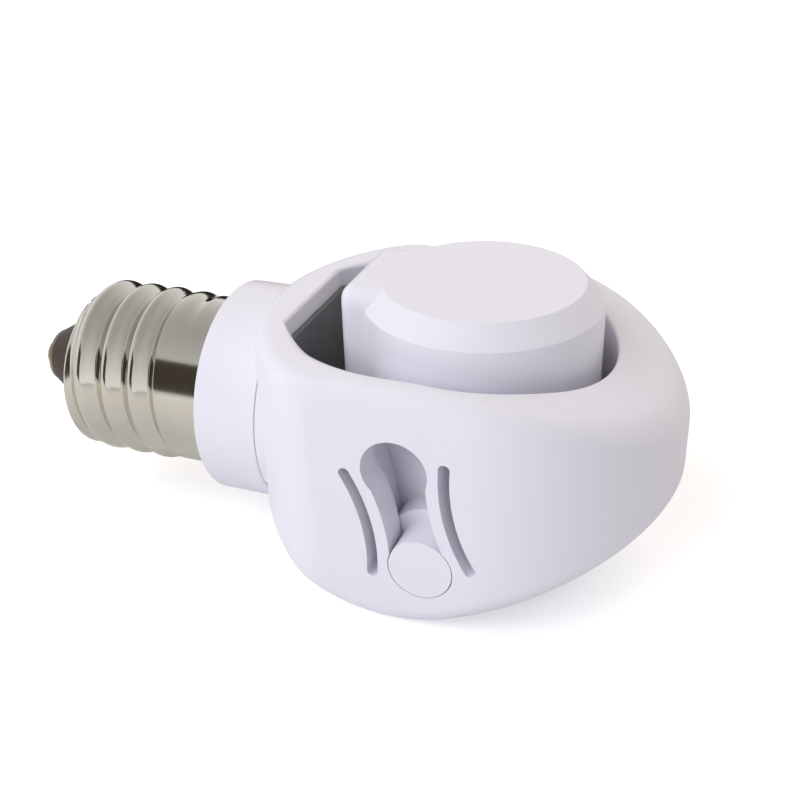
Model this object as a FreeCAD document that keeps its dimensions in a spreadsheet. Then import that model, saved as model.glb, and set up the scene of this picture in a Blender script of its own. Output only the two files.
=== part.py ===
import FreeCAD, Part
import math
import os
import Sketcher

# Elbow adapter for a small screw lamp. The screw base lies along X and enters its lampholder towards -X.
# The ring-shaped housing turns on the base, and the holder for the lamp tilts in the ring on two pins.
# Frame: the origin is the centre of the collar's seating face, on the axis of the base. +Z is up.

SIZES = {
    # screw base
    "shell_length": 15.5,
    "shell_seat": 0.4,
    "skirt_radius": 8.05,
    "skirt_length": 5.0,
    "thread_crest_radius": 8.3,
    "thread_root_radius": 7.6,
    "thread_pitch": 2.822,
    "thread_crest_width": 0.8,
    "thread_foot_width": 2.3,
    "thread_turns": 4.33,
    "thread_end": 5.2,
    "base_sheet": 0.45,
    "rim_bevel": 0.4,
    "insulator_radius": 5.4,
    "insulator_tip_radius": 2.75,
    "insulator_length": 4.5,
    "eyelet_radius": 2.55,
    "eyelet_bore": 1.2,
    "eyelet_sheet": 0.45,
    "solder_radius": 2.1,
    "solder_top_radius": 1.2,
    "solder_height": 1.15,
    # collar and its swivel in the housing
    "collar_radius": 9.94,
    "collar_length": 6.0,
    "collar_edge": 0.2,
    "core_bore": 5.2,
    "spigot_radius": 7.2,
    "groove_depth": 0.5,
    "ring_thickness": 0.36,
    "ring_radius": 8.2,
    "ring_mouth": 4.5,
    "washer_thickness": 0.2,
    "end_web": 0.8,
    "end_pocket_depth": 1.0,
    "end_pocket_radius": 8.6,
    "running_gap": 0.1,
    # housing
    "ring_gap": 1.85,
    "ring_wall": 3.0,
    "nose_centre": 26.5,
    "end_arc_centre": 22.0,
    "end_arc_radius": 18.0,
    "end_corner": 6.0,
    "deck_height": 10.4,
    "deck_fall_start": 20.7,
    "deck_fall_radius": 41.0,
    "keel_centre": 19.7,
    "keel_height": 1.7,
    "keel_radius": 14.1,
    "keel_rise_left": 21.8,
    "keel_rise_right": 24.7,
    "deck_rim": 1.1,
    "keel_rim": 1.3,
    "opening_corner_radius": 13.5,
    "opening_corner_sweep": 56.8,
    "opening_round_centre": 23.1,
    "liner_sheet": 0.5,
    "liner_drop": 1.8,
    "liner_depth": 16.0,
    "liner_reach": 4.4,
    # dumbbell slot and its relief slots
    "pin_height": -5.73,
    "pin_offset": -0.75,
    "slot_lean": 12.7,
    "slot_travel": 9.16,
    "seat_radius": 2.8,
    "neck_half_width": 2.08,
    "relief_distance": 3.6,
    "relief_width": 0.95,
    "relief_length": 9.4,
    "relief_bow_radius": 16.0,
    # tilting holder
    "holder_centre": 23.7,
    "holder_radius": 10.15,
    "holder_top": 13.81,
    "holder_mouth": -11.5,
    "holder_wall": 0.9,
    "holder_ceiling": 2.41,
    "bevel_inset": 1.61,
    "bevel_height": 1.79,
    "block_reach": 11.3,
    "block_half_width": 5.2,
    "block_foot": 0.5,
    "shoulder_radius": 3.9,
    "shoulder_gap": 0.1,
    "pin_radius": 2.72,
    # inside the holder
    "plate_thickness": 2.0,
    "plate_gap": 0.1,
    "standoff_height": 0.5,
    "standoff_radius": 2.2,
    "screw_distance": 5.6,
    "screw_radius": 0.9,
    "screw_head_radius": 1.6,
    "screw_head_height": 0.9,
    "screw_grip": 1.4,
    "screw_gap": 0.03,
    "lamp_shell_radius": 7.95,
    "lamp_shell_sheet": 0.3,
    "lamp_shell_length": 16.2,
    "lamp_shell_flange": 4.4,
    "mouth_bore": 8.6,
    "mouth_gap": 0.4,
    "leaf_sheet": 0.4,
    "leaf_width": 3.6,
    "leaf_length": 5.6,
    "leaf_drop": 1.5,
    "rivet_radius": 0.7,
    "rivet_head_radius": 0.95,
    "rivet_head_height": 0.5,
    "strip_sheet": 0.4,
    "strip_width": 1.8,
    "strip_offset": 2.9,
    "strip_length": 9.5,
    "strip_reach": 3.0,
    "channel_gap": 0.2,
}

doc = FreeCAD.newDocument("LampSocketAdapter")
sheet = doc.addObject("Spreadsheet::Sheet", "Sizes")
for row, (alias, value) in enumerate(SIZES.items(), start=1):
    sheet.set(f"A{row}", alias)
    sheet.set(f"B{row}", str(value))
    sheet.setAlias(f"B{row}", alias)
doc.recompute()


def size(text):
    """The value of an expression in the sheet's names."""
    return float(sheet.evalExpression(text))


def bound(text):
    """The same expression, as another object reads it."""
    words = sorted(SIZES, key=len, reverse=True)
    for word in words:
        text = text.replace(word, f"<<{words.index(word)}>>")
    for index, word in enumerate(words):
        text = text.replace(f"<<{index}>>", f"Sizes.{word}")
    return text


def new_body(name):
    body = doc.addObject("PartDesign::Body", name)
    body.Label = name
    return body


def plane_of(body, role):
    return next(item for item in body.Origin.OriginFeatures if item.Role == role)


def sketch_on(body, role, name, offset=None):
    """A sketch on one of the body's own planes, moved along that plane's normal by an expression."""
    sketch = body.newObject("Sketcher::SketchObject", name)
    sketch.AttachmentSupport = [(plane_of(body, role), "")]
    sketch.MapMode = "FlatFace"
    if offset is not None:
        sketch.setExpression(".AttachmentOffset.Base.z", bound(offset))
    return sketch


def bind_point(sketch, item, position, across, along):
    """Fix a sketch point by two expressions."""
    for kind, text in (("DistanceX", across), ("DistanceY", along)):
        index = sketch.addConstraint(Sketcher.Constraint(kind, -1, 1, item, position, size(text)))
        sketch.setExpression(f"Constraints[{index}]", bound(text))


def bind_radius(sketch, item, text):
    index = sketch.addConstraint(Sketcher.Constraint("Radius", item, size(text)))
    sketch.setExpression(f"Constraints[{index}]", bound(text))


def draw_circle(sketch, across, along, radius):
    centre = FreeCAD.Vector(size(across), size(along), 0)
    item = sketch.addGeometry(Part.Circle(centre, FreeCAD.Vector(0, 0, 1), size(radius)), False)
    bind_point(sketch, item, 3, across, along)
    bind_radius(sketch, item, radius)


def draw_outline(sketch, corners):
    """A closed outline. Each corner is (across, along) with a line to the next corner, or
    (across, along, radius, side) with an arc, bulging to the right of the way there for side 1."""
    points = [FreeCAD.Vector(size(corner[0]), size(corner[1]), 0) for corner in corners]
    items = []
    for index, corner in enumerate(corners):
        start = points[index]
        end = points[(index + 1) % len(points)]
        if len(corner) == 2:
            items.append(sketch.addGeometry(Part.LineSegment(start, end), False))
            continue
        radius = size(corner[2])
        half = (end - start).Length / 2
        right = FreeCAD.Vector(end.y - start.y, start.x - end.x, 0).normalize() * corner[3]
        bulge = radius - math.sqrt(max(radius ** 2 - half ** 2, 0.0))
        middle = (start + end) / 2 + right * bulge
        arc = Part.Arc(start, middle, end)
        items.append(sketch.addGeometry(arc, False))
    for index, corner in enumerate(corners):
        item = items[index]
        # an arc is stored counter-clockwise, so one that bulges left starts at its far end
        flipped = len(corner) > 2 and corner[3] < 0
        before = items[index - 1]
        before_flipped = len(corners[index - 1]) > 2 and corners[index - 1][3] < 0
        start_position = 2 if flipped else 1
        end_position = 1 if before_flipped else 2
        sketch.addConstraint(Sketcher.Constraint("Coincident", before, end_position, item, start_position))
        bind_point(sketch, item, start_position, corner[0], corner[1])
    for index, corner in enumerate(corners):
        if len(corner) > 2:
            bind_radius(sketch, items[index], corner[2])


def pad(body, sketch, name, length, midplane=False, down=False):
    feature = body.newObject("PartDesign::Pad", name)
    feature.Profile = sketch
    feature.setExpression("Length", bound(length))
    feature.Midplane = midplane
    feature.Reversed = down
    return feature


def pocket(body, sketch, name, length, midplane=False, up=False):
    """A pocket against the sketch's normal, or along it with up."""
    feature = body.newObject("PartDesign::Pocket", name)
    feature.Profile = sketch
    feature.setExpression("Length", bound(length))
    feature.Midplane = midplane
    feature.Reversed = up
    return feature


def revolve(body, sketch, name, axis, kind="Revolution"):
    feature = body.newObject(f"PartDesign::{kind}", name)
    feature.Profile = sketch
    feature.ReferenceAxis = (sketch, [axis])
    feature.Angle = 360
    return feature


def thread_ridge(body, sketch, name, axis, pitch, turns):
    """A right-hand helical ridge."""
    feature = body.newObject("PartDesign::AdditiveHelix", name)
    feature.Profile = sketch
    feature.ReferenceAxis = (plane_of(body, axis), [""])
    feature.Mode = "pitch-turns-angle"
    feature.setExpression("Pitch", bound(pitch))
    feature.setExpression("Turns", bound(turns))
    feature.Angle = 0
    feature.LeftHanded = False
    return feature


def edges_where(feature, test):
    names = []
    for index, edge in enumerate(feature.Shape.Edges, start=1):
        if test(edge):
            names.append(f"Edge{index}")
    return names


def break_edges(body, base, name, test, width):
    """A chamfer along the edges of a feature that pass a test."""
    doc.recompute()
    feature = body.newObject("PartDesign::Chamfer", name)
    feature.Base = (base, edges_where(base, test))
    feature.setExpression("Size", bound(width))
    return feature


# places that several pieces share
RING_INSIDE = "(holder_radius + ring_gap)"
RING_HALF = f"({RING_INSIDE} + ring_wall)"
SHELL_FIT = "(running_gap / 2)"
PIN_X = "holder_centre + pin_offset"
FACE_X = "collar_length + running_gap"
POCKET_X = f"{FACE_X} + end_web"
WALL_X = f"{POCKET_X} + end_pocket_depth"
PLATE_TOP = "holder_top - holder_ceiling - standoff_height"
PLATE_FOOT = f"{PLATE_TOP} - plate_thickness"
SHELL_FOOT = f"{PLATE_FOOT} - lamp_shell_length"
HOLDER_BORE = "holder_radius - holder_wall"
CORE_RADIUS = "thread_root_radius - base_sheet"
BLOCK_FACE = "holder_centre - block_reach"
OPENING_CORNER_X = f"({WALL_X} + opening_corner_radius * sin(opening_corner_sweep * 1deg))"

# an edge that spreads less than this along X lies square to it
EDGE_SPREAD = 1e-6


def make_base_shell():
    body = new_body("base_shell")
    outline = sketch_on(body, "XY_Plane", "ShellOutline")
    draw_outline(outline, [
        ("shell_seat", "skirt_radius"),
        ("-skirt_length", "skirt_radius"),
        ("-skirt_length - base_sheet", "thread_root_radius"),
        ("-shell_length", "thread_root_radius"),
        ("-shell_length", "insulator_radius"),
        ("base_sheet - shell_length", "insulator_radius"),
        ("base_sheet - shell_length", CORE_RADIUS),
        ("shell_seat", CORE_RADIUS),
    ])
    revolve(body, outline, "Shell", "H_Axis")
    # the rolled thread is a ridge with its foot buried in the sheet
    ridge = sketch_on(body, "XY_Plane", "ThreadSection")
    foot = "(thread_root_radius - base_sheet / 2)"
    start = "(-thread_end - thread_pitch * thread_turns)"
    draw_outline(ridge, [
        (f"{start} + thread_foot_width / 2", foot),
        (f"{start} + thread_crest_width / 2", "thread_crest_radius"),
        (f"{start} - thread_crest_width / 2", "thread_crest_radius"),
        (f"{start} - thread_foot_width / 2", foot),
    ])
    thread_ridge(body, ridge, "Thread", "X_Axis", "thread_pitch", "thread_turns")
    # the end of the shell is turned in, so the first turn fades into a bevelled rim
    past_thread = "(-shell_length - thread_pitch * thread_turns)"
    rim = sketch_on(body, "XY_Plane", "RimCut")
    draw_outline(rim, [
        ("-shell_length", "0"),
        ("-shell_length", CORE_RADIUS),
        ("rim_bevel - shell_length", "thread_crest_radius"),
        ("rim_bevel - shell_length", "thread_crest_radius + thread_pitch"),
        (past_thread, "thread_crest_radius + thread_pitch"),
        (past_thread, "0"),
    ])
    revolve(body, rim, "Rim", "H_Axis", "Groove")
    return body


def make_base_insulator():
    body = new_body("base_insulator")
    outline = sketch_on(body, "XY_Plane", "InsulatorOutline")
    draw_outline(outline, [
        ("base_sheet - shell_length", "eyelet_bore"),
        ("base_sheet - shell_length", "insulator_radius"),
        ("-shell_length", "insulator_radius"),
        ("-shell_length - insulator_length", "insulator_tip_radius"),
        ("-shell_length - insulator_length", "eyelet_bore"),
    ])
    revolve(body, outline, "Insulator", "H_Axis")
    return body


def make_base_contact():
    body = new_body("base_contact")
    tip = "(-shell_length - insulator_length)"
    outline = sketch_on(body, "XY_Plane", "EyeletOutline")
    draw_outline(outline, [
        ("base_sheet - shell_length + eyelet_sheet", "0"),
        ("base_sheet - shell_length + eyelet_sheet", "eyelet_radius"),
        ("base_sheet - shell_length", "eyelet_radius"),
        ("base_sheet - shell_length", "eyelet_bore"),
        (tip, "eyelet_bore"),
        (tip, "eyelet_radius"),
        (f"{tip} - eyelet_sheet", "eyelet_radius"),
        (f"{tip} - eyelet_sheet", "0"),
    ])
    revolve(body, outline, "Eyelet", "H_Axis")
    return body


def make_tip_solder():
    body = new_body("tip_solder")
    foot = "(-shell_length - insulator_length - eyelet_sheet)"
    outline = sketch_on(body, "XY_Plane", "SolderOutline")
    draw_outline(outline, [
        (foot, "solder_radius"),
        (f"{foot} - solder_height", "solder_top_radius"),
        (f"{foot} - solder_height", "0"),
        (foot, "0"),
    ])
    revolve(body, outline, "Solder", "H_Axis")
    return body


def make_collar():
    body = new_body("collar")
    groove = f"({POCKET_X} + washer_thickness + running_gap)"
    outline = sketch_on(body, "XY_Plane", "CollarOutline")
    draw_outline(outline, [
        ("shell_seat", f"{CORE_RADIUS} - {SHELL_FIT}"),
        ("shell_seat", f"skirt_radius + {SHELL_FIT}"),
        ("0", f"skirt_radius + {SHELL_FIT}"),
        ("0", "collar_radius - collar_edge"),
        ("collar_edge", "collar_radius"),
        ("collar_length", "collar_radius"),
        ("collar_length", "spigot_radius"),
        (groove, "spigot_radius"),
        (groove, "spigot_radius - groove_depth"),
        (f"{groove} + ring_thickness + running_gap / 2", "spigot_radius - groove_depth"),
        (f"{groove} + ring_thickness + running_gap / 2", "spigot_radius"),
        (f"{WALL_X} - running_gap", "spigot_radius"),
        (f"{WALL_X} - running_gap", "core_bore"),
        ("2 * base_sheet - shell_length", "core_bore"),
        ("2 * base_sheet - shell_length", f"{CORE_RADIUS} - {SHELL_FIT}"),
    ])
    revolve(body, outline, "Collar", "H_Axis")
    return body


def make_friction_washer():
    body = new_body("friction_washer")
    face = sketch_on(body, "YZ_Plane", "WasherFace", f"{POCKET_X} + running_gap / 2")
    draw_circle(face, "0", "0", "ring_radius")
    draw_circle(face, "0", "0", "spigot_radius + running_gap / 2")
    pad(body, face, "Washer", "washer_thickness")
    return body


def make_retaining_ring():
    body = new_body("retaining_ring")
    face = sketch_on(body, "YZ_Plane", "RingFace",
                     f"{POCKET_X} + washer_thickness + running_gap + running_gap / 4")
    draw_circle(face, "0", "0", "ring_radius")
    draw_circle(face, "0", "0", "spigot_radius - groove_depth + running_gap / 2")
    pad(body, face, "Ring", "ring_thickness")
    # the ring is open at the bottom, where its ends are spread to fit it
    mouth = sketch_on(body, "YZ_Plane", "RingMouth", POCKET_X)
    draw_outline(mouth, [
        ("-ring_mouth / 2", "-ring_radius * 1.5"),
        ("ring_mouth / 2", "-ring_radius * 1.5"),
        ("ring_mouth / 2", "0"),
        ("-ring_mouth / 2", "0"),
    ])
    pocket(body, mouth, "Mouth", "end_pocket_depth", up=True)
    return body


def draw_ring_opening(sketch):
    """The opening of the ring: straight across at the collar's end and round at the nose."""
    corner = "opening_corner_radius"
    wall_y = f"({corner} * cos(opening_corner_sweep * 1deg) + {RING_INSIDE} - {corner})"
    draw_outline(sketch, [
        (WALL_X, wall_y),
        (WALL_X, f"-{wall_y}", corner, 1),
        (OPENING_CORNER_X, f"-{RING_INSIDE}"),
        ("opening_round_centre", f"-{RING_INSIDE}", RING_INSIDE, 1),
        (f"opening_round_centre + {RING_INSIDE}", "0", RING_INSIDE, 1),
        ("opening_round_centre", RING_INSIDE),
        (OPENING_CORNER_X, RING_INSIDE, corner, 1),
    ])


def make_housing():
    body = new_body("housing")
    half = RING_HALF
    bottom = "(keel_radius - keel_height)"
    # plan outline: a shallow arc at the collar's end, straight sides and a round nose
    corner_y = f"({half} - end_corner)"
    corner_x = f"(end_arc_centre - sqrt((end_arc_radius - end_corner) ^ 2 - {corner_y} ^ 2))"
    ratio = "(end_arc_radius / (end_arc_radius - end_corner))"
    arc_x = f"(end_arc_centre + ({corner_x} - end_arc_centre) * {ratio})"
    arc_y = f"({corner_y} * {ratio})"
    plan = sketch_on(body, "XY_Plane", "PlanOutline", f"-{bottom}")
    draw_outline(plan, [
        (arc_x, arc_y, "end_arc_radius", 1),
        (arc_x, f"-{arc_y}", "end_corner", 1),
        (corner_x, f"-{half}"),
        ("nose_centre", f"-{half}", half, 1),
        (f"nose_centre + {half}", "0", half, 1),
        ("nose_centre", half),
        (corner_x, half, "end_corner", 1),
    ])
    pad(body, plan, "Blank", f"{bottom} + deck_height")

    # side view: the keel is round under the collar's end and rises straight to the nose
    keel = sketch_on(body, "XZ_Plane", "KeelCut")
    left_x = "(keel_centre - keel_radius * sin(keel_rise_left * 1deg))"
    left_z = "(keel_height - keel_radius * cos(keel_rise_left * 1deg))"
    right_x = "(keel_centre + keel_radius * sin(keel_rise_right * 1deg))"
    right_z = "(keel_height - keel_radius * cos(keel_rise_right * 1deg))"
    far = f"(nose_centre + 2 * {half})"
    draw_outline(keel, [
        (f"-{half}", f"{left_z} + ({left_x} + {half}) * tan(keel_rise_left * 1deg)"),
        (left_x, left_z, "keel_radius", 1),
        (right_x, right_z),
        (far, f"{right_z} + ({far} - {right_x}) * tan(keel_rise_right * 1deg)"),
        (far, f"-2 * {bottom}"),
        (f"-{half}", f"-2 * {bottom}"),
    ])
    pocket(body, keel, "Keel", f"3 * {half}", midplane=True)

    # the deck falls away in a long curve towards the nose
    deck = sketch_on(body, "XZ_Plane", "DeckCut")
    past_nose = f"(nose_centre + {half} + deck_rim)"
    fall = f"({past_nose} - deck_fall_start)"
    draw_outline(deck, [
        ("deck_fall_start", "deck_height", "deck_fall_radius", -1),
        (past_nose, f"deck_height - deck_fall_radius + sqrt(deck_fall_radius ^ 2 - {fall} ^ 2)"),
        (past_nose, "2 * deck_height"),
        ("deck_fall_start", "2 * deck_height"),
    ])
    deck_cut = pocket(body, deck, "Deck", f"3 * {half}", midplane=True)

    rims = break_edges(body, deck_cut, "DeckRim", lambda edge: is_rim(edge, True), "deck_rim")
    break_edges(body, rims, "KeelRim", lambda edge: is_rim(edge, False), "keel_rim")

    # the collar's end of the ring overhangs the collar, which seats on a round boss
    recess = sketch_on(body, "YZ_Plane", "CollarRecess", FACE_X)
    draw_circle(recess, "0", "0", "collar_radius + running_gap")
    pocket(body, recess, "Recess", f"2 * {half}")
    boss = sketch_on(body, "YZ_Plane", "BossFace", FACE_X)
    draw_circle(boss, "0", "0", "collar_radius")
    pad(body, boss, "Boss", "end_web + end_pocket_depth + ring_wall")

    # through the ring, from deck to keel
    opening = sketch_on(body, "XY_Plane", "OpeningOutline", f"-2 * {bottom}")
    draw_ring_opening(opening)
    pocket(body, opening, "Opening", f"4 * {bottom}", up=True)

    # the spigot's bearing, and the pocket for its washer and ring
    bearing = sketch_on(body, "YZ_Plane", "BearingFace", FACE_X)
    draw_circle(bearing, "0", "0", "spigot_radius + running_gap")
    pocket(body, bearing, "Bearing", "end_web + end_pocket_depth", up=True)
    seat = sketch_on(body, "YZ_Plane", "SeatFace", POCKET_X)
    draw_circle(seat, "0", "0", "end_pocket_radius")
    pocket(body, seat, "Seat", "end_pocket_depth", up=True)

    # dumbbell slots through both sides: a seat at each end, joined by a neck that the pin snaps through
    lean_x = "(-sin(slot_lean * 1deg))"
    lean_z = "cos(slot_lean * 1deg)"
    for name, step in (("LowerSeat", "0"), ("UpperSeat", "slot_travel")):
        circle = sketch_on(body, "XZ_Plane", f"{name}Face")
        draw_circle(circle, f"{PIN_X} + {step} * {lean_x}", f"pin_height + {step} * {lean_z}", "seat_radius")
        pocket(body, circle, name, f"3 * {half}", midplane=True)

    # the shoulders run in a shallow track in each side, which also clears the round ends of the opening
    track = sketch_on(body, "XZ_Plane", "TrackFace")
    track_radius = "(shoulder_radius + shoulder_gap)"
    upper_x = f"({PIN_X} + slot_travel * {lean_x})"
    upper_z = f"(pin_height + slot_travel * {lean_z})"
    draw_outline(track, [
        (f"{PIN_X} + {track_radius} * {lean_z}", f"pin_height - {track_radius} * {lean_x}"),
        (f"{upper_x} + {track_radius} * {lean_z}", f"{upper_z} - {track_radius} * {lean_x}",
         f"{track_radius} * 1.0001", 1),
        (f"{upper_x} - {track_radius} * {lean_z}", f"{upper_z} + {track_radius} * {lean_x}"),
        (f"{PIN_X} - {track_radius} * {lean_z}", f"pin_height + {track_radius} * {lean_x}",
         f"{track_radius} * 1.0001", 1),
    ])
    pocket(body, track, "Track", f"2 * ({RING_INSIDE} + shoulder_gap)", midplane=True)

    def slot_point(across, along):
        """A point beside the line of the two seats, measured from its middle."""
        middle = f"(slot_travel / 2 + ({along}))"
        return (f"{PIN_X} + {middle} * {lean_x} + ({across}) * {lean_z}",
                f"pin_height + {middle} * {lean_z} - ({across}) * {lean_x}")

    neck_bow = "(relief_distance + relief_bow_radius - neck_half_width)"
    reach = "(slot_travel / 2 - seat_radius / 2)"
    edge = f"(neck_half_width + {neck_bow} - sqrt({neck_bow} ^ 2 - {reach} ^ 2))"
    neck = sketch_on(body, "XZ_Plane", "NeckFace")
    draw_outline(neck, [
        (*slot_point(edge, f"-{reach}"), neck_bow, -1),
        slot_point(edge, reach),
        (*slot_point(f"-{edge}", reach), neck_bow, -1),
        slot_point(f"-{edge}", f"-{reach}"),
    ])
    pocket(body, neck, "Neck", f"3 * {half}", midplane=True)

    inner_bow = "(relief_bow_radius + relief_width / 2)"
    outer_bow = "(relief_bow_radius - relief_width / 2)"
    middle = "(relief_distance + relief_bow_radius)"
    for name, side in (("Left", "-1"), ("Right", "1")):
        half_length = "(relief_length / 2)"
        inner = f"({middle} - sqrt({inner_bow} ^ 2 - {half_length} ^ 2))"
        outer = f"({middle} - sqrt({outer_bow} ^ 2 - {half_length} ^ 2))"
        turn = 1 if side == "1" else -1
        face = sketch_on(body, "XZ_Plane", f"{name}ReliefFace")
        draw_outline(face, [
            (*slot_point(f"{side} * {inner}", f"-{half_length}"), inner_bow, -turn),
            (*slot_point(f"{side} * {inner}", half_length), f"({outer} - {inner}) / 1.999", -turn),
            (*slot_point(f"{side} * {outer}", half_length), outer_bow, turn),
            (*slot_point(f"{side} * {outer}", f"-{half_length}"), f"({outer} - {inner}) / 1.999", -turn),
        ])
        pocket(body, face, f"{name}Relief", f"3 * {half}", midplane=True)
    return body


def is_rim(edge, upper):
    """True for the edges round the blank's deck, or round its keel."""
    box = edge.BoundBox
    runs_along = box.XLength > EDGE_SPREAD
    level = (box.ZMin + box.ZMax) / 2
    return runs_along and (level > 0) == upper


def make_cavity_liner():
    body = new_body("cavity_liner")
    gap = "(running_gap / 2)"
    face_x = f"({WALL_X} + {gap})"
    centre_x = OPENING_CORNER_X
    outer = f"(opening_corner_radius - {gap})"
    inner = f"({outer} - liner_sheet)"
    end_x = f"({face_x} + liner_reach)"

    def side(radius, place):
        return (f"(sqrt({radius} ^ 2 - ({centre_x} - {place}) ^ 2)"
                f" + {RING_INSIDE} - opening_corner_radius)")

    band = sketch_on(body, "XY_Plane", "LinerBand", "deck_height - liner_drop")
    inner_x = f"({face_x} + liner_sheet)"
    draw_outline(band, [
        (face_x, side(outer, face_x)),
        (face_x, f"-{side(outer, face_x)}", outer, 1),
        (end_x, f"-{side(outer, end_x)}"),
        (end_x, f"-{side(inner, end_x)}", inner, -1),
        (inner_x, f"-{side(inner, inner_x)}"),
        (inner_x, side(inner, inner_x), inner, -1),
        (end_x, side(inner, end_x)),
        (end_x, side(outer, end_x), outer, 1),
    ])
    pad(body, band, "Liner", "liner_depth", down=True)
    # two holes let the leads through on the axis of the spigot
    for name, place in (("FrontLeadHole", "-strip_offset"), ("BackLeadHole", "strip_offset")):
        hole = sketch_on(body, "YZ_Plane", f"{name}Face", WALL_X)
        draw_circle(hole, place, "0", "eyelet_bore")
        pocket(body, hole, name, "4 * liner_sheet", up=True)
    return body


def make_socket_body():
    body = new_body("socket_body")
    profile = sketch_on(body, "XZ_Plane", "HolderProfile")
    draw_outline(profile, [
        ("0", "holder_mouth"),
        ("holder_radius", "holder_mouth"),
        ("holder_radius", "holder_top - bevel_height"),
        ("holder_radius - bevel_inset", "holder_top"),
        ("0", "holder_top"),
    ])
    profile.setExpression(".AttachmentOffset.Base.x", bound("holder_centre"))
    revolve(body, profile, "Holder", "V_Axis")

    # terminal block on the collar's side, with the same bevel round its top as the holder
    def draw_block(sketch):
        draw_outline(sketch, [
            (BLOCK_FACE, "-block_half_width"),
            ("holder_centre", "-block_half_width"),
            ("holder_centre", "block_half_width"),
            (BLOCK_FACE, "block_half_width"),
        ])

    block = sketch_on(body, "XY_Plane", "BlockPlan", "block_foot")
    draw_block(block)
    pad(body, block, "Block", "holder_top - bevel_height - block_foot")
    crown = sketch_on(body, "XY_Plane", "BlockCrownPlan", "holder_top - bevel_height")
    draw_block(crown)
    crown_pad = pad(body, crown, "BlockCrown", "bevel_height")
    crown_pad.setExpression("TaperAngle", bound("-atan(bevel_inset / bevel_height)"))

    # the two pins and their shoulders are one moulding with the holder
    for name, radius, reach in (("Shoulders", "shoulder_radius", f"2 * ({RING_INSIDE} - shoulder_gap)"),
                                ("Pins", "pin_radius", f"2 * {RING_HALF}")):
        face = sketch_on(body, "XZ_Plane", f"{name}Face")
        draw_circle(face, PIN_X, "pin_height", radius)
        pad(body, face, name, reach, midplane=True)

    bore = sketch_on(body, "XY_Plane", "BoreFace", "holder_top - holder_ceiling")
    draw_circle(bore, "holder_centre", "0", HOLDER_BORE)
    pocket(body, bore, "Bore", "holder_top - holder_ceiling - holder_mouth")

    # stand-offs under the ceiling, and the holes of the plate's screws
    for name, place in (("Front", "-screw_distance"), ("Back", "screw_distance")):
        face = sketch_on(body, "XY_Plane", f"{name}StandoffFace", PLATE_TOP)
        draw_circle(face, "holder_centre", place, "standoff_radius")
        pad(body, face, f"{name}Standoff", "standoff_height * 2")
        hole = sketch_on(body, "XY_Plane", f"{name}HoleFace", PLATE_TOP)
        draw_circle(hole, "holder_centre", place, "screw_radius + screw_gap")
        pocket(body, hole, f"{name}Hole", "screw_grip + screw_gap", up=True)

    # a channel for each terminal strip runs down the block and is open below
    for name, place in (("Front", "-strip_offset"), ("Back", "strip_offset")):
        low = f"{place} - strip_width / 2 - channel_gap"
        high = f"{place} + strip_width / 2 + channel_gap"
        strip_x = f"({BLOCK_FACE} + holder_wall + channel_gap)"
        channel = sketch_on(body, "XY_Plane", f"{name}ChannelFace", "block_foot")
        draw_outline(channel, [
            (f"{strip_x} - channel_gap / 2", low),
            (f"{strip_x} + strip_sheet + channel_gap", low),
            (f"{strip_x} + strip_sheet + channel_gap", high),
            (f"{strip_x} - channel_gap / 2", high),
        ])
        pocket(body, channel, f"{name}Channel", "holder_top - holder_ceiling - block_foot", up=True)
        bridge = sketch_on(body, "XY_Plane", f"{name}BridgeFace", PLATE_TOP)
        draw_outline(bridge, [
            (f"{strip_x} - channel_gap / 2", low),
            (f"{strip_x} + strip_reach + channel_gap", low),
            (f"{strip_x} + strip_reach + channel_gap", high),
            (f"{strip_x} - channel_gap / 2", high),
        ])
        pocket(body, bridge, f"{name}Bridge", "standoff_height", up=True)
    return body


def make_mouth_ring():
    body = new_body("mouth_ring")
    profile = sketch_on(body, "XZ_Plane", "MouthRingProfile")
    draw_outline(profile, [
        ("mouth_bore", "holder_mouth"),
        (f"{HOLDER_BORE} - plate_gap / 2", "holder_mouth"),
        (f"{HOLDER_BORE} - plate_gap / 2", f"{SHELL_FOOT} - mouth_gap"),
        ("mouth_bore", f"{SHELL_FOOT} - mouth_gap"),
    ])
    profile.setExpression(".AttachmentOffset.Base.x", bound("holder_centre"))
    revolve(body, profile, "MouthRing", "V_Axis")
    return body


def make_screw_shell():
    body = new_body("screw_shell")
    # a plain tube on the pitch radius of the lamp's thread
    outside = "(lamp_shell_radius + lamp_shell_sheet)"
    profile = sketch_on(body, "XZ_Plane", "LampShellProfile")
    draw_outline(profile, [
        ("lamp_shell_radius", SHELL_FOOT),
        (outside, SHELL_FOOT),
        (outside, PLATE_FOOT),
        ("lamp_shell_flange", PLATE_FOOT),
        ("lamp_shell_flange", f"{PLATE_FOOT} - lamp_shell_sheet"),
        ("lamp_shell_radius", f"{PLATE_FOOT} - lamp_shell_sheet"),
    ])
    revolve(body, profile, "LampShell", "V_Axis")
    for name, place in (("Front", "-screw_distance"), ("Back", "screw_distance")):
        hole = sketch_on(body, "XY_Plane", f"{name}FlangeHoleFace", PLATE_FOOT)
        draw_circle(hole, "0", place, "screw_radius + screw_gap")
        pocket(body, hole, f"{name}FlangeHole", "2 * lamp_shell_sheet")
    body.setExpression(".Placement.Base.x", bound("holder_centre"))
    return body


def make_contact_plate():
    body = new_body("contact_plate")
    face = sketch_on(body, "XY_Plane", "PlateFace", PLATE_FOOT)
    draw_circle(face, "holder_centre", "0", f"{HOLDER_BORE} - plate_gap")
    draw_circle(face, "holder_centre", "-screw_distance", "screw_radius + screw_gap")
    draw_circle(face, "holder_centre", "screw_distance", "screw_radius + screw_gap")
    draw_circle(face, "holder_centre - leaf_length / 2", "0", "rivet_radius + screw_gap")
    pad(body, face, "Plate", "plate_thickness")
    return body


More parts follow.
